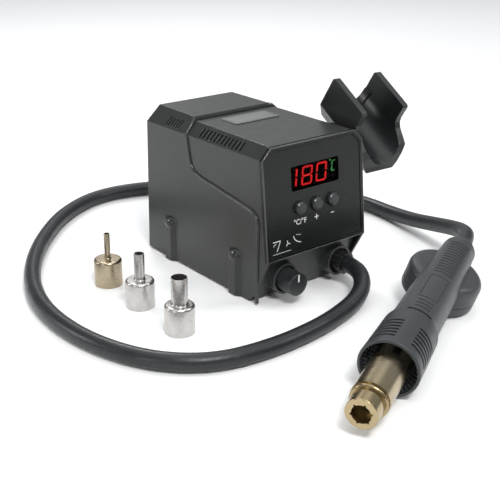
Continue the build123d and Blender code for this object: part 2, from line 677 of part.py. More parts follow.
def umbilical_hose():
    points = [Vector(*p) for p in hose_route()]
    runs = [(b - a).length for a, b in zip(points, points[1:])]
    turns = [(b - a).get_angle(c - b) for a, b, c in zip(points, points[1:], points[2:])]
    radii = [0.45 * min(runs[i], runs[i + 1]) / tan(radians(t / 2)) for i, t in enumerate(turns)]
    print("runs", [round(r, 1) for r in runs])
    print("turns", [round(t, 1) for t in turns])
    print("radii", [round(r, 1) for r in radii])
    path = FilletPolyline(*points, radius=radii)
    start = Plane(origin=points[0], z_dir=points[1] - points[0])
    tube = sweep(start * Circle(HOSE_D / 2), path=path)
    area = 3.14159265 * (HOSE_D / 2) ** 2
    print("hose length", round(path.length, 1), "volume ratio", round(tube.volume / (area * path.length), 4))
    return tube


def save(name, shape):
    moved = Pos(*[-c for c in ORIGIN]) * shape
    export_step(moved, "parts/" + name + ".step")


STATION = (
    housing_cover, base_tray, cover_screws, rubber_feet, front_bezel, panel_overlay, display_window,
    display_module, display_digits, front_board, board_screws, tact_switches, front_apron, airflow_knob,
    knob_pointer, pot_shaft, potentiometer, hose_gland, gland_locknut, rear_panel, mains_inlet,
    inlet_pins, fuse_drawer, switch_frame, rocker_switch, power_board, transformer_core,
    transformer_winding, heatsink, capacitors, roof_badge, cradle, cradle_magnet,
    cradle_bracket, cradle_screws, umbilical_hose,
)
for piece in STATION:
    save(piece.__name__, piece())

for label, u in zip(("unit", "plus", "minus"), BUTTON_X):
    save("button_" + label, on_panel(u, BUTTON_V, 0) * push_button())

for label, tube_r, x, y in NOZZLES:
    save("nozzle_" + label, Pos(x, y, 0) * nozzle(tube_r))

grip = grip_body()
for piece in (handle_upper, handle_lower, fan_cover):
    save(piece.__name__, HAND * piece(grip))
for piece in (
    handle_screws, grip_panel, vent_collar, barrel_tube, nozzle_seat, heater_core, heater_coil, mica_sleeve,
    tube_flange, flange_screws, blower_motor, blower_impeller, impeller_shaft, hose_boot,
):
    save(piece.__name__, HAND * piece())
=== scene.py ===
import bpy
from math import cos, radians, sin
from mathutils import Matrix, Vector


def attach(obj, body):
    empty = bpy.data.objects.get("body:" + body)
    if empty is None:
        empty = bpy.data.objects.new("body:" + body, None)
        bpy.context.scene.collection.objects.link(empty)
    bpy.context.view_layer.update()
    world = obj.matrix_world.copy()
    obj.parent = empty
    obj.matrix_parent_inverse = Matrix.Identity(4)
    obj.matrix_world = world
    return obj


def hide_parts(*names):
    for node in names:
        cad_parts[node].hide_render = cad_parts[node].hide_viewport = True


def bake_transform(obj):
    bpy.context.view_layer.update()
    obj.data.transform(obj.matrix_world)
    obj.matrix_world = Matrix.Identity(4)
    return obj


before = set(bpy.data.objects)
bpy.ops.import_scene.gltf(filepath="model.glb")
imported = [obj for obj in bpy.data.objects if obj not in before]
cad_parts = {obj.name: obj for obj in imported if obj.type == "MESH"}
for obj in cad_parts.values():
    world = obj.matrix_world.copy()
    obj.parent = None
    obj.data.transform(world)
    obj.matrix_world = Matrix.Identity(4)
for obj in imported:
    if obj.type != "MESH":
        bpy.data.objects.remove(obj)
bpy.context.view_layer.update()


# ---- Camera, bench and light ----
# A short telephoto lens stands off the station's front left corner, a little above it. The bench is a pale
# matt laminate in a white room. A wide ceiling light and a softbox over the front do most of the lighting,
# with a wide and a small softbox behind, one at the left, a strip at the side and one at the front right.
def mm(*place):
    """A point of the station's own frame, in millimetres, as a point of the shared frame."""
    return Vector(((place[0] - 44.45) / 1000, (place[1] + 5.55) / 1000, place[2] / 1000))


turn, rise, roll = radians(-39.88), radians(23.0), radians(0.875)
back = Vector((sin(turn) * cos(rise), -cos(turn) * cos(rise), sin(rise)))
level = Vector((cos(turn), sin(turn), 0))
upright = back.cross(level)
side = level * cos(roll) + upright * sin(roll)
top = upright * cos(roll) - level * sin(roll)
bpy.ops.object.camera_add()
camera = bpy.context.object
facing = Matrix((side, top, back)).transposed().to_4x4()
camera.matrix_world = Matrix.Translation(mm(-445.45, -510.02, 342.16)) @ facing
camera.data.lens = 65.75
camera.data.sensor_width = 36
camera.data.clip_start = 0.02
bpy.context.scene.camera = camera
bpy.context.scene.view_settings.view_transform = "Standard"

bpy.ops.mesh.primitive_plane_add(size=14, location=(0, 0, -0.0002))
bench = bpy.context.object
bench.name = "bench"
laminate = bpy.data.materials.new("pale_laminate")
laminate.use_nodes = True
shader = laminate.node_tree.nodes["Principled BSDF"]
shader.inputs["Base Color"].default_value = (0.93, 0.93, 0.93, 1)
shader.inputs["Roughness"].default_value = 0.75
shader.inputs["Specular IOR Level"].default_value = 0.15
bench.data.materials.append(laminate)

room = bpy.data.worlds.new("white_room")
room.use_nodes = True
tree = room.node_tree
dim, bright = tree.nodes["Background"], tree.nodes.new("ShaderNodeBackground")
dim.inputs["Color"].default_value = (0.93, 0.96, 1.0, 1)
dim.inputs["Strength"].default_value = 0.30
bright.inputs["Strength"].default_value = 1.0
choose, rays = tree.nodes.new("ShaderNodeMixShader"), tree.nodes.new("ShaderNodeLightPath")
tree.links.new(rays.outputs["Is Camera Ray"], choose.inputs["Fac"])
tree.links.new(dim.outputs["Background"], choose.inputs[1])
tree.links.new(bright.outputs["Background"], choose.inputs[2])
tree.links.new(choose.outputs["Shader"], tree.nodes["World Output"].inputs["Surface"])
bpy.context.scene.world = room
bpy.ops.object.light_add(type="SUN", location=(0, 0, 2), rotation=(radians(-6), radians(10), 0))
bpy.context.object.name = "ceiling_light"
bpy.context.object.data.energy = 1.35
bpy.context.object.data.angle = radians(75)
for name, place, target, size, power in (
    ("overhead_softbox", (-0.38, -0.85, 1.2), (0.0, 0.0, 0.0), (0.42, 0.34), 13),
    ("rear_softbox", (1.15, 1.25, 0.85), (0.0, 0.05, 0.1), (1.3, 0.7), 1.1),
    ("rear_spot", (0.40, 1.15, 1.1), (0.0, 0.0, 0.1), (0.28, 0.2), 5),
    ("left_softbox", (-1.25, 1.0, 0.55), (0.0, 0.0, 0.08), (0.35, 0.5), 5),
    ("side_strip", (-1.5, -0.3, 0.5), (0.0, 0.0, 0.08), (0.15, 0.8), 3),
    ("front_softbox", (1.0, -0.85, 1.05), (0.02, -0.05, 0.05), (0.4, 0.3), 4.5),
):
    bpy.ops.object.light_add(type="AREA", location=place)
    lamp = bpy.context.object
    lamp.name = name
    lamp.rotation_euler = (Vector(place) - Vector(target)).to_track_quat("Z", "Y").to_euler()
    lamp.data.shape = "RECTANGLE"
    lamp.data.size, lamp.data.size_y = size
    lamp.data.energy = power


# ---- Hose ----
# The air and power umbilical: a ribbed-core hose in a smooth, slightly shiny dark rubber sheath, 14.5 mm
# thick. It leaves the gland low on the front, sweeps round behind the station and ends in the handpiece.
BENCH = 7.3  # height of the hose's middle where it lies on the bench, in millimetres
SHEATH = 0.0145  # thickness of the hose, in metres
hose_route = [
    (89.5, -2, 19.5), (89.5, -12, 19.5), (84.8, -25, 17.6), (75.1, -35.7, 13.4), (60.7, -43, 9.6),
    (40, -49.5, 7.7), (4, -57.5, BENCH), (-47, -60, BENCH), (-96, -50.5, BENCH), (-131, -17, BENCH),
    (-149.5, 35, BENCH), (-151.5, 91, BENCH), (-139.5, 142, BENCH), (-113.5, 193, BENCH), (-76, 242, BENCH),
    (-28, 288, BENCH), (28, 313.5, BENCH), (86, 302, BENCH), (142, 271, BENCH), (191, 229.5, BENCH),
    (227, 177, BENCH), (241.5, 121, BENCH), (238.5, 82, 8.2), (231, 46, 13), (222.5, 14, 20.5),
    (213.5, -14, 28), (203.5, -37, 34), (190.56, -52.4, 36.52), (174.31, -60.08, 35.48),
]
hose_curve = bpy.data.curves.new("hose_line", "CURVE")
hose_curve.dimensions = "3D"
hose_curve.resolution_u = 12
line = hose_curve.splines.new("NURBS")
line.points.add(len(hose_route) - 1)
for point, place in zip(line.points, hose_route):
    point.co = (*mm(*place), 1)
line.order_u = 3
line.use_endpoint_u = True
hose_line = bpy.data.objects.new("hose_line", hose_curve)
bpy.context.collection.objects.link(hose_line)
flat = bpy.data.meshes.new_from_object(hose_line)
bpy.data.meshes.remove(flat)

hose_curve.bevel_depth = SHEATH / 2
hose_curve.bevel_resolution = 10
hose_curve.use_fill_caps = True
bpy.ops.object.select_all(action="DESELECT")
hose_line.select_set(True)
bpy.context.view_layer.objects.active = hose_line
bpy.ops.object.convert(target="MESH")
hose = bpy.context.object
hose.name = "hose"
bpy.ops.object.mode_set(mode="EDIT")
bpy.ops.mesh.select_all(action="SELECT")
bpy.ops.mesh.remove_doubles(threshold=0.00002)
bpy.ops.mesh.normals_make_consistent(inside=False)
bpy.ops.object.mode_set(mode="OBJECT")
bpy.ops.object.shade_smooth()


def graph(name):
    """A new material with its node list, its links and its surface shader."""
    material = bpy.data.materials.new(name)
    material.use_nodes = True
    tree = material.node_tree
    return material, tree.nodes, tree.links, tree.nodes["Principled BSDF"]


def noise(nodes, links, coordinates, scale, detail=3.0, stretch=None):
    """Noise on these coordinates, with that many features a metre, drawn out by stretch."""
    texture = nodes.new("ShaderNodeTexNoise")
    texture.inputs["Scale"].default_value = scale
    texture.inputs["Detail"].default_value = detail
    if stretch:
        mapping = nodes.new("ShaderNodeMapping")
        mapping.inputs["Scale"].default_value = stretch
        links.new(coordinates, mapping.inputs["Vector"])
        coordinates = mapping.outputs["Vector"]
    links.new(coordinates, texture.inputs["Vector"])
    return texture.outputs["Fac"]


def spread(nodes, links, value, low, high, start=0.3, end=0.7):
    """The value's middle range, from start to end, spread over low to high."""
    ramp = nodes.new("ShaderNodeMapRange")
    ramp.inputs["From Min"].default_value = start
    ramp.inputs["From Max"].default_value = end
    ramp.inputs["To Min"].default_value = low
    ramp.inputs["To Max"].default_value = high
    links.new(value, ramp.inputs["Value"])
    return ramp.outputs["Result"]


def blend_colours(nodes, links, factor, first, second):
    """Two colours, or a socket and a colour, mixed by a factor."""
    mix = nodes.new("ShaderNodeMix")
    mix.data_type = "RGBA"
    links.new(factor, mix.inputs["Factor"])
    for socket, colour in ((mix.inputs[6], first), (mix.inputs[7], second)):
        if isinstance(colour, tuple):
            socket.default_value = (*colour, 1)
        else:
            links.new(colour, socket)
    return mix.outputs[2]


def bump(nodes, links, height, distance, under=None):
    """A bump of that depth in metres, on top of another normal if there is one."""
    node = nodes.new("ShaderNodeBump")
    node.inputs["Distance"].default_value = distance
    node.inputs["Strength"].default_value = 1.0
    links.new(height, node.inputs["Height"])
    if under is not None:
        links.new(under, node.inputs["Normal"])
    return node.outputs["Normal"]


def shaded(colour, share):
    """A colour made darker or lighter by a share."""
    return tuple(channel * share for channel in colour)


def moulded(name, colour, rough, grain=2200, depth=0.00002, edge=0.0005, edge_wear_and_highlight=2.2, mottle=0.10, shine=0.5):
    """Moulded plastic or rubber: a spark-eroded grain, faint flow marks, and rounded edges drawn lighter,
    partly as rubbed wear and partly as a painted highlight.
    """
    material, nodes, links, shader = graph(name)
    shader.inputs["Specular IOR Level"].default_value = shine
    place = nodes.new("ShaderNodeTexCoord").outputs["Object"]
    cloud = noise(nodes, links, place, 38, 4)
    speck = noise(nodes, links, place, grain, 2)
    patch = noise(nodes, links, place, 160, 3)
    bevel = nodes.new("ShaderNodeBevel")
    bevel.samples = 4
    bevel.inputs["Radius"].default_value = edge
    facing = nodes.new("ShaderNodeVectorMath")
    facing.operation = "DOT_PRODUCT"
    links.new(bevel.outputs["Normal"], facing.inputs[0])
    links.new(nodes.new("ShaderNodeNewGeometry").outputs["Normal"], facing.inputs[1])
    # Mask of the rounded edges, where the bevelled normal turns away from the true one.
    rim_wear_and_highlight = spread(nodes, links, facing.outputs["Value"], 0.85, 0.0, 0.8, 0.985)
    dark, light = shaded(colour, 1 - mottle), shaded(colour, 1 + mottle)
    body = blend_colours(nodes, links, spread(nodes, links, cloud, 0, 1), dark, light)
    body = blend_colours(nodes, links, spread(nodes, links, speck, 0, 0.35), body, shaded(colour, 0.62))
    # Edges painted lighter: partly rubbed wear, partly a painted highlight standing in for light caught on
    # the edges.
    body = blend_colours(nodes, links, rim_wear_and_highlight, body, shaded(colour, edge_wear_and_highlight))
    links.new(body, shader.inputs["Base Color"])
    links.new(spread(nodes, links, patch, rough - 0.03, rough + 0.04), shader.inputs["Roughness"])
    links.new(bump(nodes, links, speck, depth, bevel.outputs["Normal"]), shader.inputs["Normal"])
    return material


sheath, nodes, links, shader = graph("rubber_sheath")
place = nodes.new("ShaderNodeTexCoord").outputs["Object"]
drift = noise(nodes, links, place, 30, 4)
scuff = noise(nodes, links, place, 210, 5)
pores = noise(nodes, links, place, 1500, 3)
tone = blend_colours(
    nodes, links, spread(nodes, links, drift, 0, 1), (0.010, 0.012, 0.0135), (0.017, 0.020, 0.022)
)
tone = blend_colours(
    nodes, links, spread(nodes, links, scuff, 0, 0.5, 0.58, 0.75), tone, (0.036, 0.038, 0.040)
)
links.new(tone, shader.inputs["Base Color"])
links.new(spread(nodes, links, scuff, 0.32, 0.42), shader.inputs["Roughness"])
shader.inputs["Specular IOR Level"].default_value = 0.42
skin = bump(nodes, links, drift, 0.0009)
links.new(bump(nodes, links, pores, 0.00004, skin), shader.inputs["Normal"])
hose.data.materials.clear()
hose.data.materials.append(sheath)
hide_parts("umbilical_hose")
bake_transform(hose)


# ---- Housing ----
# The upper shell, injection moulded in charcoal ABS with a fine spark-eroded grain. Its shoulders and the
# ribbed step of the roof are in the same moulding, and four screws hold it to the tray from below.
def finish_node(name, material):
    """Gives a CAD piece its material in every slot."""
    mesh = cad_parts[name].data
    if not mesh.materials:
        mesh.materials.append(material)
    for i in range(len(mesh.materials)):
        mesh.materials[i] = material


charcoal = moulded(
    "charcoal_abs", (0.022, 0.024, 0.0228), 0.31, grain=1500, depth=0.000010, edge=0.0005, edge_wear_and_highlight=3.0
)
finish_node("housing_cover", charcoal)

# ---- Rounded edges of the shell ----
# The raised rear half of the shell ends in a rolled bead on each wall and shoulder. Small ribs cross the step
# of the roof between them, and each corner pillar has a domed top. All of it is in the same moulding.
def deselect():
    """Leaves nothing selected, the CAD pieces included."""
    bpy.ops.object.select_all(action="DESELECT")


def join(objects, name):
    """One object of several meshes, named and sitting at the origin."""
    deselect()
    for item in objects:
        item.select_set(True)
    bpy.context.view_layer.objects.active = objects[0]
    bpy.ops.object.join()
    bpy.ops.object.transform_apply(location=True, rotation=True, scale=True)
    joined = bpy.context.object
    joined.name = name
    return joined


def clean(item, name, material):
    """Finishes a converted curve or primitive: merged, outward, smooth, named and on the station."""
    bpy.ops.object.mode_set(mode="EDIT")
    bpy.ops.mesh.select_all(action="SELECT")
    bpy.ops.mesh.remove_doubles(threshold=0.000005)
    bpy.ops.mesh.normals_make_consistent(inside=False)
    bpy.ops.object.mode_set(mode="OBJECT")
    bpy.ops.object.shade_smooth()
    item.name = name
    item.data.materials.clear()
    item.data.materials.append(material)
    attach(item, "station")


def tube(points, radius, name, material, closed=False):
    """A round bead through these points of the shared frame."""
    curve = bpy.data.curves.new(name, "CURVE")
    curve.dimensions = "3D"
    curve.resolution_u = 8
    spline = curve.splines.new("NURBS")
    spline.points.add(len(points) - 1)
    for point, place in zip(spline.points, points):
        point.co = (*place, 1)
    spline.order_u = 2 if closed else 3
    spline.use_endpoint_u = not closed
    spline.use_cyclic_u = closed
    curve.bevel_depth = radius
    curve.bevel_resolution = 5
    curve.use_fill_caps = not closed
    item = bpy.data.objects.new(name, curve)
    bpy.context.collection.objects.link(item)
    deselect()
    item.select_set(True)
    bpy.context.view_layer.objects.active = item
    bpy.ops.object.convert(target="MESH")
    clean(bpy.context.object, name, material)


# The beads and roof ribs are coloured lighter than the shell they are moulded with: a painted highlight along
# them.
gloss_bead_painted_highlight = moulded(
    "bead_abs_painted_highlight", (0.030, 0.032, 0.032), 0.22, grain=1500, depth=0.000006, edge=0.0003, edge_wear_and_highlight=1.5
)
CASE = 112  # width of the case, in millimetres
BEAD = 0.0016  # radius of the rolled bead, in metres
step_line = [
    (1, 14, 2), (1, 14, 20), (1, 14, 45), (1, 14, 66), (1, 14.2, 72), (1, 16, 77), (1, 20, 80.4),
    (1, 26, 82.2),
    (1, 50, 85.7), (1, 74, 89.1), (1, 92, 91.7), (1, 99, 93.5), (1, 104, 97.2), (1, 107, 103), (1, 109, 112),
    (1, 111.5, 123), (1.4, 112.4, 126.6), (5.4, 113.2, 130.4), (9.6, 114.0, 134.6), (12.2, 115.2, 137.0),
]
sunk = 0.35  # how far the bead's middle sits back from the step's edge, in millimetres
left_line = [mm(x, y + sunk, z - sunk) for x, y, z in step_line]
right_line = [mm(CASE - x, y + sunk, z - sunk) for x, y, z in step_line]
tube(left_line, BEAD, "step_bead_left", gloss_bead_painted_highlight)
tube(right_line, BEAD, "step_bead_right", gloss_bead_painted_highlight)

RIBS, PITCH, FIRST_RIB = 45, 2.0, 12.2
bars = []
for i in range(RIBS):
    bpy.ops.mesh.primitive_cylinder_add(
        vertices=12, radius=0.00045, depth=0.0040, location=mm(FIRST_RIB + PITCH * i, 115.6, 136.9),
        rotation=(radians(-46), 0, 0),
    )
    bars.append(bpy.context.object)
clean(join(bars, "roof_ribs"), "roof_ribs", gloss_bead_painted_highlight)

PILLARS = (42.7, 137.3)  # how far behind the front the pillars stand, in millimetres
caps = []
for x in (-0.2, CASE + 0.2):
    for y in PILLARS:
        bpy.ops.mesh.primitive_uv_sphere_add(segments=32, ring_count=20, radius=1, location=mm(x, y, 36.2))
        cap = bpy.context.object
        cap.scale = (0.0043, 0.0076, 0.0064)
        caps.append(cap)
# The domed tops are coloured darker than the shell they are moulded with: painted shade, the dark of a hollow
# top.
cap_abs_painted_shade = moulded(
    "cap_abs_painted_shade", (0.012, 0.013, 0.013), 0.24, grain=1500, depth=0.000004, edge=0.0003, edge_wear_and_highlight=1.3, shine=0.6
)
clean(join(caps, "pillar_caps"), "pillar_caps", cap_abs_painted_shade)

# ---- Tray and feet ----
# The base tray carries the transformer and the boards on moulded posts. Four soft rubber feet are pushed
# into its underside, and zinc-plated pan-head screws close the case.
tray_plastic = moulded("tray_abs", (0.024, 0.025, 0.025), 0.5)
finish_node("base_tray", tray_plastic)
finish_node("rubber_feet", moulded("foot_rubber", (0.012, 0.012, 0.012), 0.7, grain=900, edge_wear_and_highlight=1.5))


def plated(name, colour, rough, scale=(1, 1, 1), lines=900, depth=0.00001, tint=None):
    """Bare or plated metal with fine tool lines drawn out by scale, light scratches and cloudy wear."""
    material, nodes, links, shader = graph(name)
    place = nodes.new("ShaderNodeTexCoord").outputs["Object"]
    tool = noise(nodes, links, place, lines, 2, scale)
    cloud = noise(nodes, links, place, 90, 4)
    fleck = noise(nodes, links, place, 140, 2)
    tone = blend_colours(nodes, links, spread(nodes, links, cloud, 0, 1), shaded(colour, 0.86), colour)
    tone = blend_colours(nodes, links, spread(nodes, links, tool, 0, 0.3), tone, tint or shaded(colour, 0.6))
    links.new(tone, shader.inputs["Base Color"])
    shader.inputs["Metallic"].default_value = 1.0
    links.new(spread(nodes, links, fleck, rough - 0.01, rough + 0.015), shader.inputs["Roughness"])
    links.new(bump(nodes, links, tool, depth), shader.inputs["Normal"])
    return material


zinc = plated("zinc_plate", (0.6, 0.61, 0.63), 0.34)
for name in ("cover_screws", "cradle_screws", "board_screws", "flange_screws"):
    finish_node(name, zinc)
finish_node("handle_screws", plated("black_zinc", (0.12, 0.12, 0.125), 0.4))

# ---- Front bezel and printed overlay ----
# The leaning front frame is a semi-gloss moulding with a fine groove inside its rim, where a printed
# polycarbonate film is stuck on. It snaps over the shell's front edge.
bezel_plastic = moulded(
    "bezel_abs", (0.006, 0.0065, 0.0065), 0.24, grain=2600, depth=0.000012, edge_wear_and_highlight=2.0, shine=0.3
)
finish_node("front_bezel", bezel_plastic)
film = moulded(
    "printed_film", (0.010, 0.011, 0.011), 0.30, grain=3000, depth=0.000008, edge=0.0003, edge_wear_and_highlight=1.3,
    mottle=0.08, shine=0.28,
)
finish_node("panel_overlay", film)

# ---- Display ----
# A smoked acrylic window lies flush in the bezel over the lit module. Its seven-bar figures glow red, and
# the small degree unit beside them glows green.
smoked, nodes, links, shader = graph("smoked_acrylic")
place = nodes.new("ShaderNodeTexCoord").outputs["Object"]
smear = noise(nodes, links, place, 120, 4)
tone = blend_colours(
    nodes, links, spread(nodes, links, smear, 0, 1), (0.62, 0.50, 0.50), (0.68, 0.56, 0.56)
)
links.new(tone, shader.inputs["Base Color"])
links.new(spread(nodes, links, smear, 0.0, 0.02), shader.inputs["Roughness"])
shader.inputs["Specular IOR Level"].default_value = 0.1
shader.inputs["Transmission Weight"].default_value = 1.0
shader.inputs["IOR"].default_value = 1.05
finish_node("display_window", smoked)
module_black = moulded(
    "module_black", (0.0015, 0.0015, 0.0015), 0.7, edge=0.0002, edge_wear_and_highlight=1.2, mottle=0.3, shine=0.1
)
finish_node("display_module", module_black)

lit, nodes, links, shader = graph("lit_bars")
place = nodes.new("ShaderNodeTexCoord").outputs["Object"]
parts = nodes.new("ShaderNodeSeparateXYZ")
links.new(place, parts.inputs["Vector"])
unit_edge = mm(72.5, 0, 0).x
beyond = spread(nodes, links, parts.outputs["X"], 0, 1, unit_edge - 0.0001, unit_edge + 0.0001)
glow = blend_colours(nodes, links, beyond, (1.0, 0.010, 0.012), (0.05, 0.36, 0.07))
grainy = noise(nodes, links, place, 500, 2)
tone = blend_colours(nodes, links, beyond, (0.6, 0.02, 0.02), (0.05, 0.5, 0.2))
links.new(tone, shader.inputs["Base Color"])
links.new(glow, shader.inputs["Emission Color"])
links.new(spread(nodes, links, grainy, 0.48, 0.66), shader.inputs["Emission Strength"])
shader.inputs["Roughness"].default_value = 0.5
finish_node("display_digits", lit)

# ---- Printed marks ----
# White screen-printed ink on the film: the button marks, three little airflow signs over the knob, and a
# hairline along the film's lower edge. The ink is a few hundredths of a millimetre thick.
PANEL_FOOT = 42.25  # height of the panel's lower edge, in millimetres
INK_LEVEL = -0.47  # the ink's middle, in millimetres out from the panel's plane
lean = radians(6.735)
panel_right = Vector((1, 0, 0))
panel_up = Vector((0, sin(lean), cos(lean)))
panel_out = Vector((0, -cos(lean), sin(lean)))


def on_panel(u, v, out):
    """The matrix that puts a flat mesh on the panel, u and v millimetres from its lower left corner."""
    corner = mm(0, 0, PANEL_FOOT) + (panel_right * u + panel_up * v + panel_out * out) / 1000
    return Matrix.Translation(corner) @ Matrix((panel_right, panel_up, panel_out)).transposed().to_4x4()


def printed(text, u, v, height, width=1.0):
    """A printed sign as a thin mesh, centred at u and v on the film."""
    bpy.ops.object.text_add()
    sign = bpy.context.object
    sign.data.body = text
    sign.data.align_x, sign.data.align_y = "CENTER", "CENTER"
    sign.data.size = height
    sign.data.extrude = 0.00002
    sign.data.offset = 0.00005
    deselect()
    sign.select_set(True)
    bpy.ops.object.convert(target="MESH")
    sign = bpy.context.object
    sign.matrix_world = on_panel(u, v, INK_LEVEL) @ Matrix.Diagonal((width, 1, 1, 1))
    return sign


def stroke(points, thick):
    """A printed line through points on the film, all of one thickness."""
    curve = bpy.data.curves.new("stroke", "CURVE")
    curve.dimensions = "2D"
    spline = curve.splines.new("POLY")
    spline.points.add(len(points) - 1)
    for point, (u, v) in zip(spline.points, points):
        point.co = (u / 1000, v / 1000, 0, 1)
    outline = bpy.data.objects.new("stroke", curve)
    bpy.context.collection.objects.link(outline)
    flat = bpy.data.meshes.new_from_object(outline)
    line = [vertex.co.copy() for vertex in flat.vertices]
    bpy.data.objects.remove(outline)
    verts, faces = [], []
    for i, here in enumerate(line):
        ahead = (line[min(i + 1, len(line) - 1)] - line[max(i - 1, 0)]).normalized()
        across = Vector((-ahead.y, ahead.x, 0)) * thick / 2000
        verts += [here + across, here - across]
    for i in range(len(line) - 1):
        faces.append((2 * i, 2 * i + 1, 2 * i + 3, 2 * i + 2))
    mesh = bpy.data.meshes.new("stroke")
    mesh.from_pydata(verts, [], faces)
    sign = bpy.data.objects.new("stroke", mesh)
    bpy.context.collection.objects.link(sign)
    deselect()
    sign.select_set(True)
    bpy.context.view_layer.objects.active = sign
    bpy.ops.object.modifier_add(type="SOLIDIFY")
    sign.modifiers[0].thickness = 0.00004
    sign.modifiers[0].offset = 0
    bpy.ops.object.modifier_apply(modifier=sign.modifiers[0].name)
    sign.matrix_world = on_panel(0, 0, INK_LEVEL)
    return sign


signs = [
    printed("°C/°F", 37.4, 27.6, 0.0064), printed("+", 56, 27.4, 0.0095), printed("−", 74.4, 27.2, 0.0075),
]
for arm in range(3):
    start = radians(90 + 120 * arm)
    sweep = [(r, start + r * 0.12) for r in (0.2, 1.0, 1.8, 2.7)]
    blade = [(22.8 + r * cos(angle), 12.2 + r * sin(angle)) for r, angle in sweep]
    signs.append(stroke(blade, 0.7))
signs.append(stroke([(6.9, 16.4), (10.2, 16.2), (14.9, 16.4), (14.4, 15.3), (12.6, 11.4), (10.6, 7.9)], 0.75))
signs.append(stroke([(10.4, 14.2), (8.0, 14.0), (7.2, 12.6)], 0.5))
signs.append(stroke([(29.4, 16.9), (30.0, 14.6), (31.6, 12.6), (34.6, 10.9), (37.4, 10.2)], 0.75))
for u in (32.2, 34.2, 36.2):
    signs.append(stroke([(u, 17.6 - 0.2 * (u - 32)), (u + 1.2, 17.5 - 0.2 * (u - 32))], 0.5))
signs.append(stroke([(6.2, 5.9), (26, 5.9)], 0.35))
marks = join(signs, "printed_marks")
ink, nodes, links, shader = graph("white_ink")
place = nodes.new("ShaderNodeTexCoord").outputs["Object"]
thin = noise(nodes, links, place, 1600, 3)
tone = blend_colours(nodes, links, spread(nodes, links, thin, 0, 1), (0.62, 0.63, 0.63), (0.8, 0.8, 0.8))
links.new(tone, shader.inputs["Base Color"])
links.new(spread(nodes, links, thin, 0.45, 0.65), shader.inputs["Roughness"])
marks.data.materials.clear()
marks.data.materials.append(ink)
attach(marks, "station")

# ---- Bezel edge ----
# The outer edge of the front frame is rounded over, and this bead along it is coloured far lighter than the
# frame: a painted highlight.
# The edge is part of the same moulding, and runs once round the frame's outline with its two cut top corners.
outline = [(0.5, 0.5), (111.5, 0.5), (111.5, 84.6), (102.1, 93.3), (9.9, 93.3), (0.5, 84.6)]
corner = mm(0, 0, PANEL_FOOT)
rim_line = [corner + (panel_right * u + panel_up * v + panel_out * -0.55) / 1000 for u, v in outline]
# Painted highlight: the bead is coloured several times lighter than the frame it is moulded with.
bead_abs_painted_highlight = moulded(
    "bezel_edge_painted_highlight", (0.05, 0.053, 0.053), 0.2, grain=2600, depth=0.000004, edge=0.0003, edge_wear_and_highlight=1.5
)
tube(rim_line, 0.0007, "bezel_bead", bead_abs_painted_highlight, closed=True)

# ---- Keys and their switches ----
# Three domed silicone-topped keys stand through the bezel on tact switches, which are soldered to the
# front board. The board is green glass fibre with small pan-head screws.
key_rubber = moulded(
    "key_rubber", (0.026, 0.028, 0.029), 0.3, grain=1600, depth=0.00001, edge=0.0009, edge_wear_and_highlight=3.6
)
for name in ("button_unit", "button_plus", "button_minus"):
    finish_node(name, key_rubber)
solder_mask = moulded(
    "solder_mask", (0.012, 0.075, 0.03), 0.32, grain=700, depth=0.00003, edge=0.0002, edge_wear_and_highlight=1.6, mottle=0.3
)
finish_node("front_board", solder_mask)
finish_node("power_board", solder_mask)
finish_node("tact_switches", moulded("switch_black", (0.015, 0.015, 0.016), 0.45, edge=0.0002))

# ---- Apron and airflow knob ----
# The apron below the panel carries two cast-in collars: one for the airflow knob and one for the hose. The
# knob is a fluted black moulding pressed on a turned shaft, with a painted pointer.
apron_abs = moulded(
    "apron_abs", (0.034, 0.0365, 0.0365), 0.34, grain=1500, depth=0.00003, edge=0.0009, edge_wear_and_highlight=3.0
)
finish_node("front_apron", apron_abs)
knob_black = moulded(
    "knob_black", (0.020, 0.023, 0.024), 0.30, grain=1800, depth=0.00001, edge=0.0008, edge_wear_and_highlight=3.6
)
finish_node("airflow_knob", knob_black)
paint, nodes, links, shader = graph("pointer_paint")
place = nodes.new("ShaderNodeTexCoord").outputs["Object"]
film_noise = noise(nodes, links, place, 1200, 3)
tone = blend_colours(
    nodes, links, spread(nodes, links, film_noise, 0, 1), (0.7, 0.7, 0.69), (0.86, 0.86, 0.85)
)
links.new(tone, shader.inputs["Base Color"])
links.new(spread(nodes, links, film_noise, 0.35, 0.5), shader.inputs["Roughness"])
finish_node("knob_pointer", paint)
finish_node("pot_shaft", plated("turned_aluminium", (0.72, 0.73, 0.74), 0.3, (1, 30, 1), 300))
finish_node("potentiometer", plated("pot_can", (0.55, 0.56, 0.55), 0.38))

# ---- Hose gland ----
# A black nylon cable gland: a fluted nut that squeezes the sheath, and a locknut behind the apron's wall.
# Both are moulded. Their edges are drawn lighter, partly as rubbing by fingers and partly as a painted
# highlight.
gland_nylon = moulded(
    "gland_nylon", (0.011, 0.0115, 0.012), 0.36, grain=1200, depth=0.00003, edge=0.0006, edge_wear_and_highlight=4.0
)
finish_node("hose_gland", gland_nylon)
finish_node("gland_locknut", gland_nylon)

# ---- Back of the station ----
# The rear panel is a separate moulding with the mains inlet, its fuse drawer and the rocker switch, all
# snapped into it. The inlet's pins are nickel plated.
finish_node("rear_panel", moulded(
    "rear_abs", (0.022, 0.023, 0.023), 0.46, grain=1500, depth=0.00005, edge=0.0006
))
inlet_plastic = moulded("inlet_thermoset", (0.012, 0.012, 0.012), 0.38, edge=0.0005, edge_wear_and_highlight=3.0)
for name in ("mains_inlet", "fuse_drawer", "switch_frame"):
    finish_node(name, inlet_plastic)
finish_node("rocker_switch", moulded(
    "rocker_gloss", (0.010, 0.010, 0.010), 0.2, depth=0.000004, edge=0.0006, edge_wear_and_highlight=4.0
))
finish_node("inlet_pins", plated("nickel_pins", (0.74, 0.72, 0.66), 0.2))

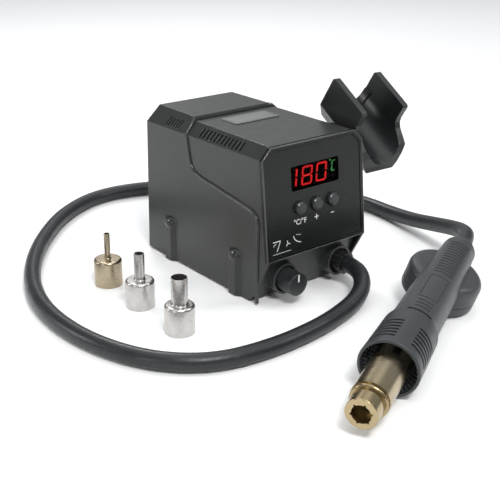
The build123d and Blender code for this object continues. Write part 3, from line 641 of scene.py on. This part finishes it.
# ---- Inside the case ----
# A laminated transformer with an enamelled winding, an extruded heat sink and sleeved capacitors stand on
# the power board. The wiring is left out.
finish_node("transformer_core", plated("laminated_steel", (0.16, 0.16, 0.17), 0.5, (1, 1, 40), 60))
finish_node("transformer_winding", plated("enamelled_copper", (0.62, 0.26, 0.08), 0.3, (1, 1, 30), 80))
finish_node("heatsink", plated("extruded_aluminium", (0.6, 0.61, 0.63), 0.36, (30, 1, 1), 60))
finish_node("capacitors", moulded("capacitor_sleeve", (0.01, 0.02, 0.08), 0.28, depth=0.000005, edge_wear_and_highlight=2.0))

# ---- Roof badge ----
# A blank painted plate, let into the roof near its middle. It has a soft brushed finish along its length.
badge_plate = plated("badge_plate", (0.25, 0.255, 0.25), 0.5, (2, 60, 2), 60, 0.000004, (0.2, 0.2, 0.198))
finish_node("roof_badge", badge_plate)

# ---- Handpiece cradle ----
# A glossy black trough, screwed to the side of the case through a moulded bracket. Its edges are drawn
# lighter, partly as wear and partly as a painted highlight. A small magnet in its underside tells the station
# that the handpiece is home.
cradle_gloss = moulded(
    "cradle_gloss", (0.0085, 0.0095, 0.010), 0.33, grain=900, depth=0.000002, edge=0.0008, edge_wear_and_highlight=4.0,
    mottle=0.03,
)
finish_node("cradle", cradle_gloss)
finish_node("cradle_bracket", moulded("bracket_abs", (0.013, 0.013, 0.013), 0.4, edge=0.0006, edge_wear_and_highlight=2.6))
finish_node("cradle_magnet", plated("magnet_nickel", (0.6, 0.6, 0.6), 0.25))

# ---- Loose nozzles ----
# Three push-on nozzles, deep drawn from steel with a soldered tube. Use has tinted the small one straw
# gold, and the others are plain nickel with faint rings from spinning.
straw = plated("straw_steel", (0.46, 0.39, 0.28), 0.27, (1, 1, 45), 60, 0.0000006, (0.38, 0.31, 0.20))
nickel = plated("nickel_steel", (0.60, 0.58, 0.56), 0.27, (1, 1, 45), 60, 0.0000006, (0.50, 0.49, 0.47))
finish_node("nozzle_small", straw)
finish_node("nozzle_medium", nickel)
finish_node("nozzle_large", nickel)


# ---- Handpiece shells ----
# The grip is two glass-filled nylon shells that run into a round blower housing, with a cover snapped on
# below it. Three screws close them. A soft grip pad with cross ribs is let into the upper shell.
def handpiece_place(nodes, links):
    """Coordinates along the handpiece's own axes, from its tip towards the hose."""
    mapping = nodes.new("ShaderNodeMapping")
    mapping.vector_type = "TEXTURE"
    mapping.inputs["Location"].default_value = mm(-73, -177, 19.7)
    mapping.inputs["Rotation"].default_value = (radians(18), radians(-3.3), radians(25.3))
    links.new(nodes.new("ShaderNodeTexCoord").outputs["Object"], mapping.inputs["Vector"])
    return mapping.outputs["Vector"]


nylon = moulded(
    "grip_nylon", (0.040, 0.044, 0.047), 0.40, grain=1500, depth=0.00005, edge=0.0010, edge_wear_and_highlight=1.7
)
for name in ("handle_upper", "handle_lower", "fan_cover"):
    finish_node(name, nylon)
grip_rubber = moulded(
    "grip_rubber", (0.036, 0.040, 0.043), 0.45, grain=1300, edge=0.0002, depth=0.00005, edge_wear_and_highlight=2.4
)
finish_node("grip_panel", grip_rubber)
collar_nylon = moulded(
    "collar_nylon", (0.032, 0.036, 0.039), 0.42, grain=1500, depth=0.00004, edge=0.0007, edge_wear_and_highlight=2.0
)
finish_node("vent_collar", collar_nylon)
finish_node("hose_boot", moulded("boot_rubber", (0.020, 0.022, 0.024), 0.5, edge=0.0006))

# ---- Barrel and heater ----
# The barrel is a rolled stainless tube with a bead, and its turned tip takes the nozzles. Heat has tinted
# both champagne to bronze. A wound ceramic core in a mica sleeve sits inside.
barrel_steel, nodes, links, shader = graph("heat_tinted_steel")
place = handpiece_place(nodes, links)
parts = nodes.new("ShaderNodeSeparateXYZ")
links.new(place, parts.inputs["Vector"])
rings = noise(nodes, links, place, 60, 2, (30, 1, 1))
cloud = noise(nodes, links, place, 70, 4)
draw = noise(nodes, links, place, 90, 3, (1, 8, 8))
heat = nodes.new("ShaderNodeValToRGB")
stops = heat.color_ramp.elements
stops[0].position, stops[0].color = 0.0, (0.42, 0.34, 0.19, 1)
stops[1].position, stops[1].color = 1.0, (0.36, 0.33, 0.25, 1)
for position, colour in (
    (0.15, (0.44, 0.37, 0.22, 1)), (0.2, (0.30, 0.23, 0.11, 1)),
    (0.27, (0.48, 0.41, 0.27, 1)), (0.6, (0.52, 0.46, 0.33, 1)),
):
    stops.new(position).color = colour
links.new(spread(nodes, links, parts.outputs["X"], 0, 1, 0.0, 0.075), heat.inputs["Fac"])
tone = blend_colours(
    nodes, links, spread(nodes, links, cloud, 0, 0.55), heat.outputs["Color"], (0.40, 0.31, 0.19)
)
tone = blend_colours(nodes, links, spread(nodes, links, draw, 0, 0.3), tone, (0.30, 0.24, 0.16))
links.new(tone, shader.inputs["Base Color"])
shader.inputs["Metallic"].default_value = 1.0
links.new(spread(nodes, links, cloud, 0.22, 0.28), shader.inputs["Roughness"])
links.new(bump(nodes, links, rings, 0.0000006), shader.inputs["Normal"])
finish_node("barrel_tube", barrel_steel)
finish_node("nozzle_seat", barrel_steel)
finish_node("tube_flange", plated("stamped_flange", (0.55, 0.5, 0.42), 0.35))
finish_node("heater_core", moulded(
    "steatite", (0.62, 0.42, 0.16), 0.6, grain=900, depth=0.00005, edge_wear_and_highlight=1.2
))
finish_node("heater_coil", plated("resistance_wire", (0.42, 0.38, 0.34), 0.45))
finish_node("mica_sleeve", moulded(
    "mica", (0.30, 0.18, 0.06), 0.4, grain=400, depth=0.00004, edge_wear_and_highlight=1.4, mottle=0.4
))

# ---- Blower ----
# A small brushed motor in a zinc can spins a moulded radial impeller on a ground steel shaft. The motor sits
# in the round end of the grip, under the fan cover.
finish_node("blower_motor", plated("zinc_can", (0.5, 0.5, 0.52), 0.35))
finish_node("blower_impeller", moulded("impeller_nylon", (0.02, 0.02, 0.021), 0.45))
finish_node("impeller_shaft", plated("ground_steel", (0.65, 0.65, 0.66), 0.2))
